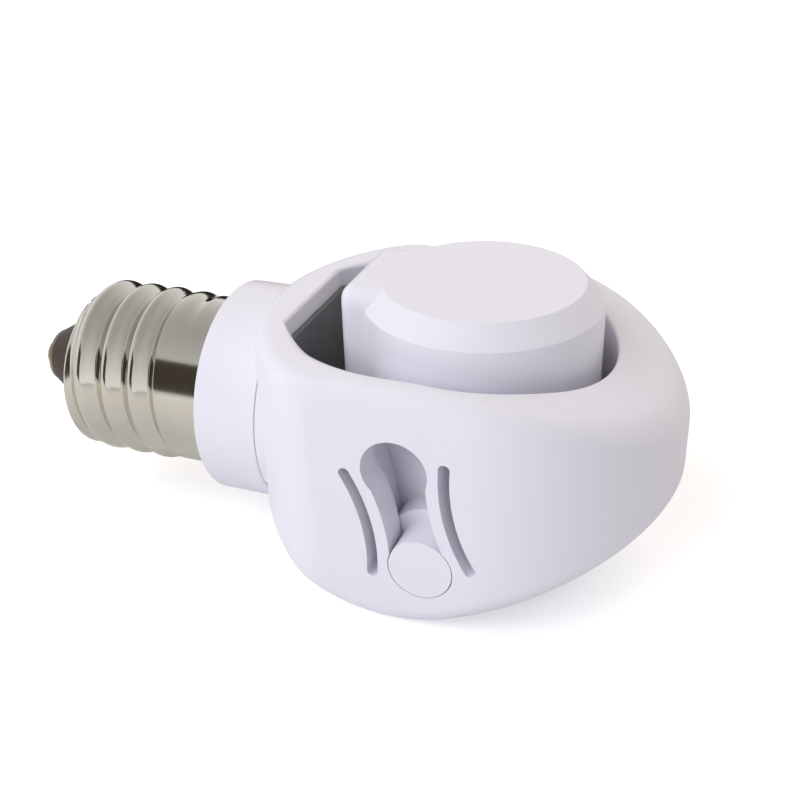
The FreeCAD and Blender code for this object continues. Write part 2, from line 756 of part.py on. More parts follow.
def make_centre_contact():
    body = new_body("centre_contact")
    # the leaf lies on the plate at its rivet, dips to the lamp's tip and turns up at its end
    profile = sketch_on(body, "XZ_Plane", "LeafProfile")
    heel = "(holder_centre - sqrt((lamp_shell_flange - plate_gap) ^ 2 - leaf_width ^ 2 / 4))"
    knee = "(holder_centre - leaf_length / 4)"
    tip = "(holder_centre + leaf_length / 4)"
    toe = "(holder_centre + leaf_length / 2)"
    low = f"({PLATE_FOOT} - leaf_drop)"
    draw_outline(profile, [
        (heel, PLATE_FOOT),
        (heel, f"{PLATE_FOOT} - leaf_sheet"),
        (f"{knee} - leaf_sheet", f"{PLATE_FOOT} - leaf_sheet"),
        ("holder_centre - leaf_sheet", f"{low} - leaf_sheet"),
        (f"{tip} + leaf_sheet / 2", f"{low} - leaf_sheet"),
        (toe, f"{low} + leaf_sheet"),
        (f"{toe} - leaf_sheet / 2", f"{low} + 1.5 * leaf_sheet"),
        (tip, low),
        ("holder_centre", low),
        (knee, PLATE_FOOT),
    ])
    pad(body, profile, "Leaf", "leaf_width", midplane=True)
    hole = sketch_on(body, "XY_Plane", "LeafHoleFace", PLATE_FOOT)
    draw_circle(hole, "holder_centre - leaf_length / 2", "0", "rivet_radius + screw_gap")
    pocket(body, hole, "LeafHole", "2 * leaf_sheet")
    return body


def make_contact_rivet():
    body = new_body("contact_rivet")
    profile = sketch_on(body, "XZ_Plane", "RivetProfile")
    foot = f"({PLATE_FOOT} - leaf_sheet)"
    draw_outline(profile, [
        ("0", f"{foot} - rivet_head_height"),
        ("rivet_head_radius", f"{foot} - rivet_head_height"),
        ("rivet_head_radius", foot),
        ("rivet_radius", foot),
        ("rivet_radius", PLATE_TOP),
        ("0", PLATE_TOP),
    ])
    profile.setExpression(".AttachmentOffset.Base.x", bound("holder_centre - leaf_length / 2"))
    revolve(body, profile, "Rivet", "V_Axis")
    return body


def make_terminal(name, place):
    body = new_body(name)
    strip_x = f"({BLOCK_FACE} + holder_wall + channel_gap)"
    top = f"({PLATE_TOP} + strip_sheet)"
    profile = sketch_on(body, "XZ_Plane", "StripProfile", f"-({place})")
    draw_outline(profile, [
        (strip_x, top),
        (strip_x, f"{top} - strip_length"),
        (f"{strip_x} + strip_sheet", f"{top} - strip_length"),
        (f"{strip_x} + strip_sheet", PLATE_TOP),
        (f"{strip_x} + strip_reach", PLATE_TOP),
        (f"{strip_x} + strip_reach", top),
    ])
    pad(body, profile, "Strip", "strip_width", midplane=True)
    return body


def make_plate_screw(name, place):
    body = new_body(name)
    profile = sketch_on(body, "XZ_Plane", "ScrewProfile", f"-({place})")
    seat = f"({PLATE_FOOT} - lamp_shell_sheet)"
    draw_outline(profile, [
        ("0", f"{seat} - screw_head_height"),
        ("screw_head_radius", f"{seat} - screw_head_height"),
        ("screw_head_radius", seat),
        ("screw_radius", seat),
        ("screw_radius", f"{PLATE_TOP} + screw_grip"),
        ("0", f"{PLATE_TOP} + screw_grip"),
    ])
    profile.setExpression(".AttachmentOffset.Base.x", bound("holder_centre"))
    revolve(body, profile, "Screw", "V_Axis")
    return body


pieces = [
    make_base_shell(),
    make_base_insulator(),
    make_base_contact(),
    make_tip_solder(),
    make_collar(),
    make_friction_washer(),
    make_retaining_ring(),
    make_housing(),
    make_cavity_liner(),
    make_socket_body(),
    make_mouth_ring(),
    make_screw_shell(),
    make_contact_plate(),
    make_centre_contact(),
    make_contact_rivet(),
    make_terminal("live_terminal", "-strip_offset"),
    make_terminal("neutral_terminal", "strip_offset"),
    make_plate_screw("plate_screw_front", "-screw_distance"),
    make_plate_screw("plate_screw_back", "screw_distance"),
]
doc.recompute()

failed = [item.Name for item in doc.Objects if "Invalid" in item.State or "Error" in item.State]
if failed:
    raise RuntimeError(f"features that failed: {failed}")
for piece in pieces:
    if piece.Shape.isNull() or not piece.Shape.isValid() or len(piece.Shape.Solids) != 1:
        raise RuntimeError(f"{piece.Label} isn't one valid solid")

os.makedirs("parts", exist_ok=True)
for piece in pieces:
    piece.Shape.exportStep(f"parts/{piece.Label}.step")
    box = piece.Shape.BoundBox
    print(f"{piece.Label:18s} {piece.Shape.Volume:9.2f} mm3  "
          f"x {box.XMin:7.2f} {box.XMax:7.2f}  y {box.YMin:7.2f} {box.YMax:7.2f}  z {box.ZMin:7.2f} {box.ZMax:7.2f}")
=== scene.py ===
import math

import bmesh
import bpy
import numpy as np
from mathutils import Matrix, Vector


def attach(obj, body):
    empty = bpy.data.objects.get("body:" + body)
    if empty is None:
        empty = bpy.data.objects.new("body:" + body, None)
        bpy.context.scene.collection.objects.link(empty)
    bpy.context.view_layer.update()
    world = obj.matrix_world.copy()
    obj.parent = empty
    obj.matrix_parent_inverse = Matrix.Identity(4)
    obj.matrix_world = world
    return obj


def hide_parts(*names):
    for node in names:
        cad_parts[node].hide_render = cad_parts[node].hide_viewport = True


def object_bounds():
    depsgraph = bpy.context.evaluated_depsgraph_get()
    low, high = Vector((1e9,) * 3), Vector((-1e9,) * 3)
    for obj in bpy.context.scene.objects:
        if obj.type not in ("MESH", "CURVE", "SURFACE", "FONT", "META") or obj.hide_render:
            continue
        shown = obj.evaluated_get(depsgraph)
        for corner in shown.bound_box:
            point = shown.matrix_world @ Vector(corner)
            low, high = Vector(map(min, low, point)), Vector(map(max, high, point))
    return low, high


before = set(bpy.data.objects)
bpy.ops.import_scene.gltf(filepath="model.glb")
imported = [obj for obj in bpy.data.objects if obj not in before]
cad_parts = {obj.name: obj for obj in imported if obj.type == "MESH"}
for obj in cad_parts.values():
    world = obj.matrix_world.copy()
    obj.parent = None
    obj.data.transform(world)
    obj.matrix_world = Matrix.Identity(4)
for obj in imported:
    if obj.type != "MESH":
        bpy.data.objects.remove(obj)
cad_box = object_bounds()
MM = 0.001

# The view. A portrait lens looks down on the adapter from the right of its front, with the base
# pointing away to the left and the camera a little tilted.
camera_place = Vector((48.68, -84.21, 51.76)) * MM
camera_azimuth = math.radians(21.29)
camera_elevation = math.radians(29.38)
camera_roll = math.radians(-1.75)
sensor_width = 36
focal_share = 1.425
nearest_seen = 5 * MM

looking_back = Vector((
    math.sin(camera_azimuth) * math.cos(camera_elevation),
    -math.cos(camera_azimuth) * math.cos(camera_elevation),
    math.sin(camera_elevation),
))
level_right = Vector((math.cos(camera_azimuth), math.sin(camera_azimuth), 0))
level_up = looking_back.cross(level_right)
right = level_right * math.cos(camera_roll) + level_up * math.sin(camera_roll)
up = level_up * math.cos(camera_roll) - level_right * math.sin(camera_roll)

lens = bpy.data.cameras.new("portrait_lens")
lens.sensor_width = sensor_width
lens.lens = sensor_width * focal_share
lens.clip_start = nearest_seen
camera = bpy.data.objects.new("camera", lens)
camera.matrix_world = Matrix((
    (right.x, up.x, looking_back.x, camera_place.x),
    (right.y, up.y, looking_back.y, camera_place.y),
    (right.z, up.z, looking_back.z, camera_place.z),
    (0, 0, 0, 1),
))
bpy.context.scene.collection.objects.link(camera)
bpy.context.scene.camera = camera
bpy.context.scene.view_settings.view_transform = "Standard"


# The screw base is brass strip drawn to a tube, rolled to a thread and nickel plated, with its rim
# turned in over the insulator. The plating is warm and very bright. The dies leave rings round it
# that are finer than the picture shows, so they are drawn just coarse enough to be seen.
def linear(hex_colour):
    """An sRGB hex colour as linear red, green, blue and alpha."""
    shares = [int(hex_colour[i:i + 2], 16) / 255 for i in (1, 3, 5)]
    bent = [c / 12.92 if c <= 0.04045 else ((c + 0.055) / 1.055) ** 2.4 for c in shares]
    return (*bent, 1)


def shaded(hex_colour, share):
    """The same colour with a share of its light, as linear red, green, blue and alpha."""
    return (*(c * share for c in linear(hex_colour)[:3]), 1)


def add(tree, kind, inputs=None, **settings):
    """Adds a node. Inputs are links or values, by name or place, and set after the settings.

    A setting is a socket's value, or a property where no socket has that name."""
    node = tree.nodes.new(kind)
    for name, value in settings.items():
        socket = name.replace("_", " ")
        if socket in node.inputs:
            node.inputs[socket].default_value = value
        else:
            setattr(node, name, value)
    for socket, source in (inputs or {}).items():
        if isinstance(source, bpy.types.NodeSocket):
            tree.links.new(source, node.inputs[socket])
        else:
            node.inputs[socket].default_value = source
    return node


def new_material(name):
    material = bpy.data.materials.new(name)
    material.use_nodes = True
    material.node_tree.nodes.clear()
    return material


def metal_finish(name, colour, roughness, marks_mm, along_axes=(1, 1, 1), stains_mm=4):
    """A metal with faint stains and fine marks, which are drawn out along an axis with a small share."""
    material = new_material(name)
    tree = material.node_tree
    place = add(tree, "ShaderNodeTexCoord").outputs["Object"]
    drawn_out = add(tree, "ShaderNodeMapping", {"Vector": place}, Scale=along_axes).outputs["Vector"]
    marks = add(tree, "ShaderNodeTexNoise", {"Vector": drawn_out},
                Scale=1 / (marks_mm * MM), Detail=4).outputs["Fac"]
    stains = add(tree, "ShaderNodeTexNoise", {"Vector": place},
                 Scale=1 / (stains_mm * MM), Detail=4).outputs["Fac"]
    tint = add(tree, "ShaderNodeMix", {"Factor": stains, "A": linear(colour), "B": shaded(colour, 0.86)},
               data_type="RGBA")
    sheen = add(tree, "ShaderNodeMapRange", {"Value": marks},
                To_Min=roughness * 0.7, To_Max=roughness * 1.5)
    bump = add(tree, "ShaderNodeBump", {"Height": marks}, Strength=0.08, Distance=0.01 * MM)
    metal = add(tree, "ShaderNodeBsdfPrincipled", {
        "Base Color": tint.outputs["Result"],
        "Roughness": sheen.outputs["Result"],
        "Normal": bump.outputs["Normal"],
    }, Metallic=1.0)
    add(tree, "ShaderNodeOutputMaterial", {"Surface": metal.outputs["BSDF"]})
    return material


nickel = metal_finish("nickel_plated_brass", "#DAD6C9", roughness=0.12, marks_mm=0.35,
                      along_axes=(1, 0.06, 0.06))


def outward(mesh):
    """Turns the faces of a closed mesh outwards."""
    shape = bmesh.new()
    shape.from_mesh(mesh)
    bmesh.ops.recalc_face_normals(shape, faces=shape.faces)
    shape.to_mesh(mesh)
    shape.free()


def looped_faces(rows, around, closed):
    """The faces between rows of points that each go once round, back to the first row where closed."""
    faces = []
    for row in range(rows if closed else rows - 1):
        here, there = row * around, (row + 1) % rows * around
        for step in range(around):
            beside = (step + 1) % around
            faces.append((here + step, here + beside, there + beside, there + step))
    return faces


def turned(profile, solid=False, segments=192):
    """A part turned about X from a profile of (place along X, radius) in mm.

    The profile of a ring is closed, and the profile of a solid is open, with flat ends."""
    angles = [2 * math.pi * step / segments for step in range(segments)]
    points = [(x * MM, r * MM * math.cos(a), r * MM * math.sin(a)) for x, r in profile for a in angles]
    ends = [tuple(range(segments)), tuple(range(len(points) - segments, len(points)))] if solid else []
    mesh = bpy.data.meshes.new("turned")
    mesh.from_pydata(points, [], ends + looped_faces(len(profile), segments, not solid))
    outward(mesh)
    return mesh


ridge_slimness = 1.6


def thread_rolling_tree():
    """Rolls a right-hand thread into a turned tube about X: a rounded ridge between narrow valleys.

    A point's turn counts along the helix from the tube's foot, and the thread fades in and out by it.
    The ridge that lies before the first turn runs out into it."""
    tree = bpy.data.node_groups.new("roll_thread", "GeometryNodeTree")
    panel = tree.interface
    sizes = ("Pitch", "Valley", "Ridge", "Inner Radius", "Foot", "First Turn", "Last Turn", "Fade")
    panel.new_socket("Geometry", in_out="INPUT", socket_type="NodeSocketGeometry")
    for name in sizes:
        panel.new_socket(name, in_out="INPUT", socket_type="NodeSocketFloat")
    panel.new_socket("Surface", in_out="INPUT", socket_type="NodeSocketMaterial")
    panel.new_socket("Geometry", in_out="OUTPUT", socket_type="NodeSocketGeometry")
    given = add(tree, "NodeGroupInput").outputs
    position = add(tree, "GeometryNodeInputPosition").outputs["Position"]
    place = add(tree, "ShaderNodeSeparateXYZ", {"Vector": position}).outputs

    # Each step says what it gives, how, and from which earlier results, sizes or numbers.
    steps = (
        ("y squared", "MULTIPLY", "Y", "Y"),
        ("z squared", "MULTIPLY", "Z", "Z"),
        ("radius squared", "ADD", "y squared", "z squared"),
        ("radius", "SQRT", "radius squared"),
        ("bearing", "ARCTAN2", "Z", "Y"),
        ("share of turn", "DIVIDE", "bearing", 2 * math.pi),
        ("past foot", "SUBTRACT", "Foot", "X"),
        ("along", "DIVIDE", "past foot", "Pitch"),
        ("phase", "ADD", "along", "share of turn"),
        ("across", "FRACT", "phase"),
        ("ridge number", "FLOOR", "phase"),
        ("ridge middle", "ADD", "ridge number", 0.5),
        ("turn", "SUBTRACT", "ridge middle", "share of turn"),
        ("half wave", "MULTIPLY", "across", math.pi),
        ("wave", "SINE", "half wave"),
        ("ridge shape", "POWER", "wave", ridge_slimness),
        ("height", "SUBTRACT", "Ridge", "Valley"),
        ("lift", "MULTIPLY", "height", "ridge shape"),
        ("rolled", "ADD", "Valley", "lift"),
        ("risen", "ADD", "First Turn", "Fade"),
        ("rising", "FADE", "turn", "First Turn", "risen"),
        ("not fallen", "SUBTRACT", "Last Turn", "Fade"),
        ("falling", "FADE", "turn", "Last Turn", "not fallen"),
        ("turn before", "SUBTRACT", "First Turn", 1.0),
        ("risen before", "ADD", "turn before", "Fade"),
        ("rising before", "FADE", "turn", "turn before", "risen before"),
        ("valley alone", "MINIMUM", "rolled", 0.0),
        ("far flank", "GREATER_THAN", "across", 0.5),
        ("far valley", "MULTIPLY", "valley alone", "far flank"),
        ("run out", "MULTIPLY", "far valley", "rising before"),
        ("started", "BLEND", "rising", "run out", "rolled"),
        ("depth", "MULTIPLY", "started", "falling"),
        ("stretch", "DIVIDE", "depth", "radius"),
        ("y push", "MULTIPLY", "Y", "stretch"),
        ("z push", "MULTIPLY", "Z", "stretch"),
        ("in wall", "GREATER_THAN", "radius", "Inner Radius"),
    )
    smooth = {"interpolation_type": "SMOOTHSTEP"}
    not_math = {
        "FADE": ("ShaderNodeMapRange", ("Value", "From Min", "From Max"), smooth),
        "BLEND": ("ShaderNodeMix", ("Factor", "A", "B"), {}),
    }
    known = {name: given[name] for name in sizes}
    known.update({axis: place[axis] for axis in "XYZ"})
    for result, operation, *terms in steps:
        math_node = ("ShaderNodeMath", range(len(terms)), {"operation": operation})
        kind, sockets, settings = not_math.get(operation, math_node)
        inputs = {socket: known.get(term, term) for socket, term in zip(sockets, terms)}
        known[result] = add(tree, kind, inputs, **settings).outputs[0]

    push = add(tree, "ShaderNodeCombineXYZ", {"Y": known["y push"], "Z": known["z push"]})
    moved = add(tree, "GeometryNodeSetPosition", {
        "Geometry": given["Geometry"], "Selection": known["in wall"], "Offset": push.outputs["Vector"]})
    real = add(tree, "GeometryNodeRealizeInstances", {"Geometry": moved.outputs["Geometry"]})
    painted = add(tree, "GeometryNodeSetMaterial", {
        "Geometry": real.outputs["Geometry"], "Material": given["Surface"]})
    add(tree, "NodeGroupOutput", {"Geometry": painted.outputs["Geometry"]})
    return tree


roll_thread = thread_rolling_tree()


def rolled_tube(blank, **settings):
    """The turned blank with its thread, as a plain mesh."""
    tube = bpy.data.objects.new("blank", blank)
    bpy.context.scene.collection.objects.link(tube)
    rolling = tube.modifiers.new("rolling", "NODES")
    rolling.node_group = roll_thread
    sockets = {item.name: item.identifier for item in roll_thread.interface.items_tree
               if item.in_out == "INPUT"}
    for name, value in settings.items():
        rolling[sockets[name.replace("_", " ")]] = value
    mesh = bpy.data.meshes.new_from_object(tube.evaluated_get(bpy.context.evaluated_depsgraph_get()))
    bpy.data.objects.remove(tube)
    return mesh


def dress(mesh, node_name, piece_name, body, material, crease=35):
    """Makes a mesh the visible piece of a node, smooth but for the edges past the crease angle."""
    shape = bmesh.new()
    shape.from_mesh(mesh)
    for face in shape.faces:
        face.smooth = True
    for edge in shape.edges:
        edge.smooth = len(edge.link_faces) == 2 and edge.calc_face_angle(0) < math.radians(crease)
    shape.to_mesh(mesh)
    shape.free()
    mesh.materials.clear()
    mesh.materials.append(material)
    piece = bpy.data.objects.new(piece_name, mesh)
    bpy.context.scene.collection.objects.link(piece)
    weights = piece.modifiers.new("even_shading", "WEIGHTED_NORMAL")
    weights.keep_sharp = True
    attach(piece, body)
    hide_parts(node_name)
    return piece


thread_pitch = 2.822
skirt_radius = 8.05
crest_radius = 8.3
root_radius = 7.6
thread_foot = -4.4
thread_fade = 0.3
shell_foot = 0.4
shell_end = -15.2
core_radius = 7.15
core_clearance = 0.1
lip_radius = 5.4
lip_round = 0.8
sheet = 0.45
wall_steps = 260
lip_steps = 10
wall_rows = [(shell_foot + (shell_end + lip_round - shell_foot) * step / wall_steps, skirt_radius)
             for step in range(wall_steps + 1)]
lip_rows = [(shell_end + lip_round * (1 - math.sin(a)), skirt_radius - lip_round * (1 - math.cos(a)))
            for a in (math.radians(90 * step / lip_steps) for step in range(1, lip_steps + 1))]
shell_blank = turned(wall_rows + lip_rows + [
    (shell_end, lip_radius),
    (shell_end + sheet, lip_radius),
    (shell_end + sheet, core_radius),
    (shell_foot, core_radius),
])
base_mesh = rolled_tube(
    shell_blank, Pitch=thread_pitch * MM, Valley=(root_radius - skirt_radius) * MM,
    Ridge=(crest_radius - skirt_radius) * MM, Inner_Radius=(core_radius + core_clearance) * MM,
    Foot=thread_foot * MM, First_Turn=0.15, Last_Turn=9.0, Fade=thread_fade, Surface=nickel)
dress(base_mesh, "base_shell", "rolled_screw_base", "screw_base", nickel)


# The insulator is a cone of phenolic resin moulded into the tip, dark brown and matt. The eyelet and
# its solder close it: the one plated as the shell is and rubbed dull, the other dull from its flux.
def moulded(name, colour, roughness, polish_marks_mm=0.9, relief=0.04, ior=1.54, flow_marks_mm=16.7):
    """A moulded resin. The mould's polish leaves marks, drawn wide enough to be seen, and the flow a tint."""
    material = new_material(name)
    tree = material.node_tree
    place = add(tree, "ShaderNodeTexCoord").outputs["Object"]
    flow = add(tree, "ShaderNodeTexNoise", {"Vector": place},
               Scale=1 / (flow_marks_mm * MM), Detail=2).outputs["Fac"]
    polish = add(tree, "ShaderNodeTexNoise", {"Vector": place},
                 Scale=1 / (polish_marks_mm * MM), Detail=3).outputs["Fac"]
    tint = add(tree, "ShaderNodeMix", {"Factor": flow, "A": linear(colour), "B": shaded(colour, 0.985)},
               data_type="RGBA")
    sheen = add(tree, "ShaderNodeMapRange", {"Value": polish},
                To_Min=roughness * 0.9, To_Max=roughness * 1.12)
    bump = add(tree, "ShaderNodeBump", {"Height": polish}, Strength=relief, Distance=0.02 * MM)
    resin = add(tree, "ShaderNodeBsdfPrincipled", {
        "Base Color": tint.outputs["Result"],
        "Roughness": sheen.outputs["Result"],
        "Normal": bump.outputs["Normal"],
    }, IOR=ior)
    add(tree, "ShaderNodeOutputMaterial", {"Surface": resin.outputs["BSDF"]})
    return material


def softened_copy(node_name, soft_edge_mm=0.0, is_wide=None, wide_edge_mm=0.0):
    """A copy of a solid with its facets merged into faces, and its edges rounded where a width is given.

    The edges for which is_wide is true are rounded first, by the wide width."""
    facet_angle = math.radians(0.5)
    sharp_angle = math.radians(25)
    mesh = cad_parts[node_name].data.copy()
    shape = bmesh.new()
    shape.from_mesh(mesh)
    bmesh.ops.remove_doubles(shape, verts=shape.verts, dist=0.001 * MM)
    bmesh.ops.dissolve_limit(shape, angle_limit=facet_angle, verts=shape.verts, edges=shape.edges)
    if is_wide:
        wide = [edge for edge in shape.edges if is_wide(edge)]
        bmesh.ops.bevel(shape, geom=wide, offset=wide_edge_mm * MM, segments=8, profile=0.5,
                        affect="EDGES", clamp_overlap=False)
    if soft_edge_mm:
        sharp = [edge for edge in shape.edges if edge.calc_face_angle(0) > sharp_angle]
        bmesh.ops.bevel(shape, geom=sharp, offset=soft_edge_mm * MM, segments=3, profile=0.5,
                        affect="EDGES", clamp_overlap=True)
    shape.to_mesh(mesh)
    shape.free()
    return mesh


def dressed_copy(node_name, piece_name, body, material, soft_edge_mm=0.0):
    """A node's own shape, softened and dressed as its visible piece."""
    return dress(softened_copy(node_name, soft_edge_mm), node_name, piece_name, body, material)


# A matt moulded skin gives back less light than a polished one, so the cone's IOR is set low.
phenolic = moulded("phenolic_resin", "#3A2A20", roughness=0.45, ior=1.3)
dressed_copy("base_insulator", "tip_insulator", "screw_base", phenolic)
dulled_nickel = metal_finish("dulled_nickel", "#B8AC96", roughness=0.45, marks_mm=0.5)
dressed_copy("base_contact", "tip_eyelet", "screw_base", dulled_nickel)
solder = metal_finish("flux_dulled_solder", "#C2B69E", roughness=0.5, marks_mm=0.6)
dressed_copy("tip_solder", "solder_dome", "screw_base", solder)

# The collar is one moulding of white ABS, with the core that the shell is pressed on and the spigot
# that turns in the housing's end wall. The polished mould gives it soft wide highlights, and the
# resin has a faint lavender cast.
white_abs = moulded("white_abs", "#F0EFF8", roughness=0.34)
dressed_copy("collar", "collar_moulding", "screw_base", white_abs, soft_edge_mm=0.12)

# Behind the end wall a spring washer and an open ring in the spigot's groove keep the collar in. Both
# are stamped from spring steel and zinc plated, which leaves them pale grey and half bright.
zinc = metal_finish("zinc_plated_spring_steel", "#A9AAAE", roughness=0.3, marks_mm=0.25)
dressed_copy("friction_washer", "spring_washer", "screw_base", zinc)
dressed_copy("retaining_ring", "open_ring", "screw_base", zinc)


# The housing is a ring-shaped moulding of the same white ABS, open above and below for the holder.
# Its skin is a loop of rings between the plan's outline and the opening's, from the deck over soft
# rims to the keel.
def arc_points(centre_x, centre_y, radius, start, end, steps=60):
    """Points in mm along an arc in plan, by its angles in degrees."""
    angles = [math.radians(start + (end - start) * step / steps) for step in range(steps + 1)]
    return [(centre_x + radius * math.cos(a), centre_y + radius * math.sin(a)) for a in angles]


half_width = 15.0
nose_x = 26.5
end_arc_x = 22.0
end_arc_radius = 18.0
end_corner = 6.0
corner_x = end_arc_x - math.sqrt((end_arc_radius - end_corner) ** 2 - (half_width - end_corner) ** 2)
corner_turn = 180 - math.degrees(math.asin((half_width - end_corner) / (end_arc_radius - end_corner)))
outer_side = (arc_points(nose_x, 0, half_width, 0, 90)
              + arc_points(corner_x, half_width - end_corner, end_corner, 90, corner_turn)
              + arc_points(end_arc_x, 0, end_arc_radius, corner_turn, 180))

opening_half = 12.0
opening_nose_x = 23.1
opening_corner = 13.5
opening_sweep = 56.8
wall_x = 7.9
wall_corner = 0.9
opening_corner_x = wall_x + opening_corner * math.sin(math.radians(opening_sweep))
opening_corner_y = opening_half - opening_corner
corner_reach = opening_corner - wall_corner
corner_across = opening_corner_x - wall_x - wall_corner
wall_corner_turn = 180 - math.degrees(math.acos(corner_across / corner_reach))
wall_corner_y = opening_corner_y + math.sqrt(corner_reach ** 2 - corner_across ** 2)
opening_side = (arc_points(opening_nose_x, 0, opening_half, 0, 90)
                + arc_points(opening_corner_x, opening_corner_y, opening_corner, 90, wall_corner_turn)
                + arc_points(wall_x + wall_corner, wall_corner_y, wall_corner, wall_corner_turn, 180)
                + [(wall_x, 0)])

# Both outlines are read by their direction from one point inside the opening.
plan_centre = np.array((19.0, 0.0))


def outline_reach(side, turns):
    """How far a mirrored outline reaches from the plan's centre in each direction."""
    corners = np.array(side) - plan_centre
    steps = np.arange(0, len(corners) - 1, 1 / 16)
    points = np.stack([np.interp(steps, range(len(corners)), corners[:, axis]) for axis in (0, 1)], axis=1)
    bearings = np.arctan2(points[:, 1], points[:, 0])
    return np.interp(np.abs(turns), bearings, np.hypot(points[:, 0], points[:, 1]))


around = 720
turns = np.linspace(-math.pi, math.pi, around, endpoint=False)
headings = np.stack((np.cos(turns), np.sin(turns)), axis=1)
outer_plan = plan_centre + headings * outline_reach(outer_side, turns)[:, None]
outer_plan[:, 1] = np.clip(outer_plan[:, 1], -half_width, half_width)
opening_plan = plan_centre + headings * outline_reach(opening_side, turns)[:, None]


def outward_normals(plan):
    run = np.roll(plan, -1, axis=0) - np.roll(plan, 1, axis=0)
    run /= np.linalg.norm(run, axis=1)[:, None]
    return np.stack((run[:, 1], -run[:, 0]), axis=1)


outer_normal = outward_normals(outer_plan)
opening_normal = outward_normals(opening_plan)

deck_height = 10.4
deck_fall_x = 20.7
deck_fall_radius = 41.0
keel_x = 19.7
keel_height = 1.7
keel_radius = 14.1
keel_rise = {-1: math.radians(21.8), 1: math.radians(24.7)}


def deck_level(x):
    """Flat over the base's end, then falling along an arc to the nose."""
    fall = np.maximum(x - deck_fall_x, 0)
    return deck_height - deck_fall_radius + np.sqrt(deck_fall_radius ** 2 - fall ** 2)


def keel_level(x):
    """Round under the middle, with straight rises that leave the arc as its tangents."""
    level = np.zeros_like(x)
    for side, rise in keel_rise.items():
        away = (x - keel_x) * side
        leave = keel_radius * math.sin(rise)
        bowl = keel_height - np.sqrt(keel_radius ** 2 - np.minimum(np.abs(away), leave) ** 2)
        level = np.where(away >= 0, bowl + np.maximum(away - leave, 0) * math.tan(rise), level)
    return level


# The deck's outer rim grows softer to the nose, and the opening's edge is widest along its sides.
deck_rim_back = 1.5
deck_rim_nose = 2.2
keel_rim = 2.2
opening_lip = 0.35
opening_lip_wide = 1.4
lip_widens_at, lip_widens_over = 8.3, 4.5
lip_narrows_at, lip_narrows_over = 24.0, 8.0


def eased(x, start, length):
    """From 0 at the start to 1 past the length, with a smooth start and end."""
    share = np.clip((x - start) / length, 0, 1)
    return share ** 2 * (3 - 2 * share)


nose_share = eased(outer_plan[:, 0], deck_fall_x, nose_x + half_width - deck_fall_x)
deck_rim = deck_rim_back + (deck_rim_nose - deck_rim_back) * nose_share
opening_x = opening_plan[:, 0]
wide_share = (eased(opening_x, lip_widens_at, lip_widens_over)
              * (1 - eased(opening_x, lip_narrows_at, lip_narrows_over)))
opening_rim = opening_lip + (opening_lip_wide - opening_lip) * wide_share
skin = []


def add_ring(plan, level):
    skin.append(np.column_stack((plan, level)))


def round_rim(plan, normal, level_of, radius, side, at_opening, upwards, steps=8):
    """Rings round a quarter turn between a wall and the deck (side 1) or the keel (side -1)."""
    for step in range(steps + 1):
        a = math.pi / 2 * (step / steps if upwards else 1 - step / steps)
        inset = radius * (1 - math.cos(a)) * (1 if at_opening else -1)
        ring = plan + normal * np.reshape(inset, (-1, 1))
        add_ring(ring, level_of(ring[:, 0]) - side * radius * (1 - math.sin(a)))


def wall_between(plan, low, high, steps=12):
    for step in range(1, steps):
        add_ring(plan, low + (high - low) * (step / steps))


def floor_between(first, last, level_of, steps=10):
    for step in range(1, steps):
        plan = first + (last - first) * step / steps
        add_ring(plan, level_of(plan[:, 0]))


deck_edge = opening_plan + opening_normal * opening_rim[:, None]
keel_edge = opening_plan + opening_normal * opening_lip
wall_between(outer_plan, keel_level(outer_plan[:, 0]) + keel_rim, deck_level(outer_plan[:, 0]) - deck_rim)
round_rim(outer_plan, outer_normal, deck_level, deck_rim, side=1, at_opening=False, upwards=True)
floor_between(outer_plan - outer_normal * deck_rim[:, None], deck_edge, deck_level)
round_rim(opening_plan, opening_normal, deck_level, opening_rim, side=1, at_opening=True, upwards=False)
wall_between(opening_plan, deck_level(opening_x) - opening_rim, keel_level(opening_x) + opening_lip)
round_rim(opening_plan, opening_normal, keel_level, opening_lip, side=-1, at_opening=True, upwards=True)
floor_between(keel_edge, outer_plan - outer_normal * keel_rim, keel_level)
round_rim(outer_plan, outer_normal, keel_level, keel_rim, side=-1, at_opening=False, upwards=False)

housing_mesh = bpy.data.meshes.new("ring_housing")
housing_mesh.from_pydata((np.concatenate(skin) * MM).tolist(), [], looped_faces(len(skin), around, True))
outward(housing_mesh)


# The housing's end gets its boss, the recess for the collar and the bearing for the spigot, and both
# sides get the seats that the pins snap into, the neck between them and a bowed relief slot on each
# side of it.
def combine(mesh, tool_mesh, operation):
    """The union or difference of two closed meshes, as a new mesh."""
    base = bpy.data.objects.new("base", mesh)
    tool = bpy.data.objects.new("tool", tool_mesh)
    for item in (base, tool):
        bpy.context.scene.collection.objects.link(item)
    cut = base.modifiers.new("cut", "BOOLEAN")
    cut.operation = operation
    cut.solver = "EXACT"
    cut.object = tool
    result = bpy.data.meshes.new_from_object(base.evaluated_get(bpy.context.evaluated_depsgraph_get()))
    for item in (base, tool):
        bpy.data.objects.remove(item)
    return result


boss_segments = 160
collar_radius = 9.94
collar_gap = 0.04
face_x = 6.1
bearing_x = 6.9
bearing_radius = 7.3
washer_pocket = 8.6
short_of_wall = 0.05
past_wall = 0.6
boss = [(face_x, collar_radius), (wall_x - short_of_wall, collar_radius)]
bearing = [
    (-half_width, collar_radius + collar_gap),
    (face_x, collar_radius + collar_gap),
    (face_x, bearing_radius),
    (bearing_x, bearing_radius),
    (bearing_x, washer_pocket),
    (wall_x + past_wall, washer_pocket),
]
housing_mesh = combine(housing_mesh, turned(boss, solid=True, segments=boss_segments), "UNION")
housing_mesh = combine(housing_mesh, turned(bearing, solid=True, segments=boss_segments), "DIFFERENCE")

